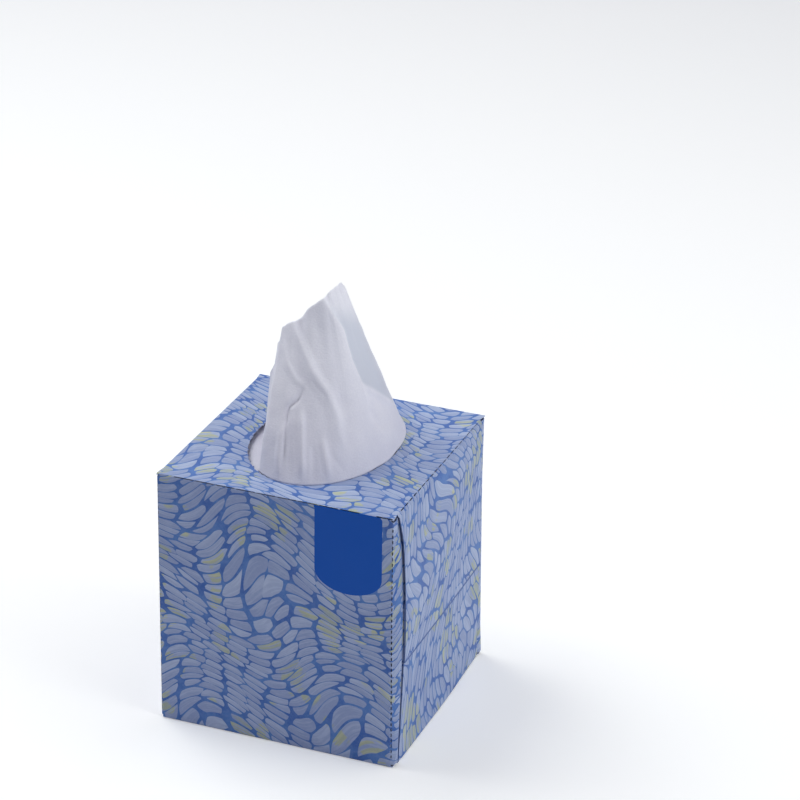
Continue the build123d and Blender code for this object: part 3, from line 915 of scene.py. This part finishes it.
def foot_path(rim, stack_high):
    """Points of the sheet from the end of its hidden foot, in over the stack and up toward the rim."""
    half, spring = stack_high.y / MM, stack_high.z / MM - STACK_ARCH

    def above_stack(x, y):
        reach = min(abs(y) / half, STACK_EDGE)
        return Vector((x, y, spring + STACK_ARCH * math.sqrt(1 - reach * reach) + FOOT_GAP))

    outward = outward_at(rim)
    touch = rim - outward * TOUCH_INSET
    end = touch + outward * FOOT_REACH
    limit = half - FOOT_MARGIN
    end.y = min(max(end.y, -limit), limit)
    across = [touch.lerp(end, i / FOOT_ROWS) for i in range(FOOT_ROWS, 0, -1)]
    lying = [above_stack(p.x, p.y) for p in across]
    contact = above_stack(touch.x, touch.y)
    # Where the sheet stands clear of the opening's edge, its foot billows up under the top panel.
    billow = ease((CLEAR_SHARE - rim_share(rim)) / BILLOW_RUN)
    ceiling = HEIGHT - BOARD - BILLOW_GAP
    for i, point in enumerate(lying):
        point.z += billow * max(ceiling - point.z, 0.0) * ease((i + 1) / BILLOW_ROWS)
    contact.z += billow * max(ceiling - contact.z, 0.0)
    standing = [contact.lerp(rim, i / STANDING_ROWS) for i in range(STANDING_ROWS)]
    return smoothed(lying + standing, FOOT_ROUNDS)


def raised_columns():
    """Columns of points of the smooth sheet, each from its foot through the opening to the ragged edge."""
    right, _, _ = view_axes()
    _, stack_high = (Vector(corner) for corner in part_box("tissue_stack"))
    columns = []
    for k, (rim, edge) in enumerate(zip(*sheet_paths())):
        ragged = sum(height * noise.noise(Vector((k * pace, start, 0.0))) for height, pace, start in RAGGED)
        edge = edge + Vector((0.0, 0.0, ragged))
        outward = outward_at(rim)
        bulge = BULGE + (BULGE_RIGHT - BULGE) * ease(outward.dot(right) * 2 - 1)
        lip = LIP * ease((rim_share(rim) - CLEAR_SHARE) / LIP_RUN)
        column = foot_path(rim, stack_high) + [rim]
        for share in LIP_SHARES + [i / SHEET_ROWS for i in range(1, SHEET_ROWS + 1)]:
            swell = bulge * math.sin(math.pi * share ** BULGE_SKEW) + lip * math.exp(-LIP_FALL * share)
            column.append(rim.lerp(edge, share) + outward * swell)
        columns.append(column)
    return columns


def sheet_normals(columns):
    last_i, last_j = len(columns) - 1, len(columns[0]) - 1
    result = []
    for i in range(last_i + 1):
        row = []
        for j in range(last_j + 1):
            beside = columns[min(i + 1, last_i)][j] - columns[max(i - 1, 0)][j]
            above = columns[i][min(j + 1, last_j)] - columns[i][max(j - 1, 0)]
            row.append(beside.cross(above).normalized())
        result.append(row)
    return result


def crease(columns):
    """Press creases and waves into the columns. Gives each point's share, 0 to 1, in the panel of painted
    shade.
    """
    right, _, seen_up = view_axes()
    toward_camera = right.cross(seen_up)
    panel_shades = []
    for column, normals in zip(columns, sheet_normals(columns)):
        for j, (point, normal) in enumerate(zip(column, normals)):
            offset = point - OPENING_MIDDLE
            across, up = offset.dot(right), offset.dot(seen_up)
            lift = ease(max(point.z - HEIGHT + LIFT_DEPTH, 0.0) / LIFT_RUN)
            wave = sum(height * noise.noise(point * pace) for height, pace in WAVES)
            seen = ease((normal.dot(toward_camera) - SEEN_FROM) * SEEN_GAIN)
            panel_shades.append(seen * painted_shade_panel(across, up))
            if seen > 0:
                wave += seen * crease_rise(across, up)
            hidden = ease((-normal.dot(toward_camera) - HIDDEN_FROM) * HIDDEN_GAIN)
            wave += hidden * BACK_WAVE * noise.noise(Vector([p * pace for p, pace in zip(point, BACK_PACE)]))
            column[j] = point + normal * wave * lift
    return panel_shades


def two_skins(columns):
    """Closed mesh of the sheet: an outer skin and then an inner one, with strips that join their edges."""
    facing = sheet_normals(columns)
    half = TISSUE_THICKNESS / 2
    mesh = bmesh.new()
    skins = []
    for side in (1, -1):
        skins.append([[mesh.verts.new((p + n * half * side) * MM) for p, n in zip(column, row)]
                      for column, row in zip(columns, facing)])
    outer, inner = skins
    last_i, last_j = len(columns) - 1, len(columns[0]) - 1
    for i in range(last_i):
        for j in range(last_j):
            mesh.faces.new((outer[i][j], outer[i + 1][j], outer[i + 1][j + 1], outer[i][j + 1]))
            mesh.faces.new((inner[i][j], inner[i][j + 1], inner[i + 1][j + 1], inner[i + 1][j]))
    for i in range(last_i):
        mesh.faces.new((outer[i + 1][0], outer[i][0], inner[i][0], inner[i + 1][0]))
        mesh.faces.new((outer[i][last_j], outer[i + 1][last_j], inner[i + 1][last_j], inner[i][last_j]))
    for j in range(last_j):
        mesh.faces.new((outer[0][j], outer[0][j + 1], inner[0][j + 1], inner[0][j]))
        mesh.faces.new((outer[last_i][j + 1], outer[last_i][j], inner[last_i][j], inner[last_i][j + 1]))
    result = bpy.data.meshes.new("tissue_sheet")
    mesh.to_mesh(result)
    mesh.free()
    return result


def tissue_sheet():
    """The raised tissue: one gathered sheet that stands in the opening and narrows to a ragged upper edge."""
    columns = raised_columns()
    panel_shades = crease(columns)
    mesh = two_skins(columns)
    # Both skins have their points in the order of the columns, the outer one first.
    panel_shade = mesh.attributes.new("painted_shade_panel", "FLOAT", "POINT")
    for index, one_shade in enumerate(panel_shades + panel_shades):
        panel_shade.data[index].value = one_shade
    mesh.shade_smooth()
    return new_object("tissue_sheet", mesh)


make_camera()
make_light()
make_floor()
carton = carton_piece()
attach(carton, "root")
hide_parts("carton", "printed_tab", "printed_pebbles")

glue = adhesive()
for node in ("seam_glue", "flap_glue_left"):
    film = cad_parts[node].data
    film.materials.clear()
    film.materials.append(glue)
right_glue = glue_film()
right_glue.data.materials.append(glue)
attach(right_glue, "root")
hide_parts("flap_glue_right")

white = tissue_paper()
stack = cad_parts["tissue_stack"]
stack.data.materials.clear()
stack.data.materials.append(white)
sheet = tissue_sheet()
sheet.data.materials.append(white)
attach(sheet, "root")
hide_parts("raised_tissue")
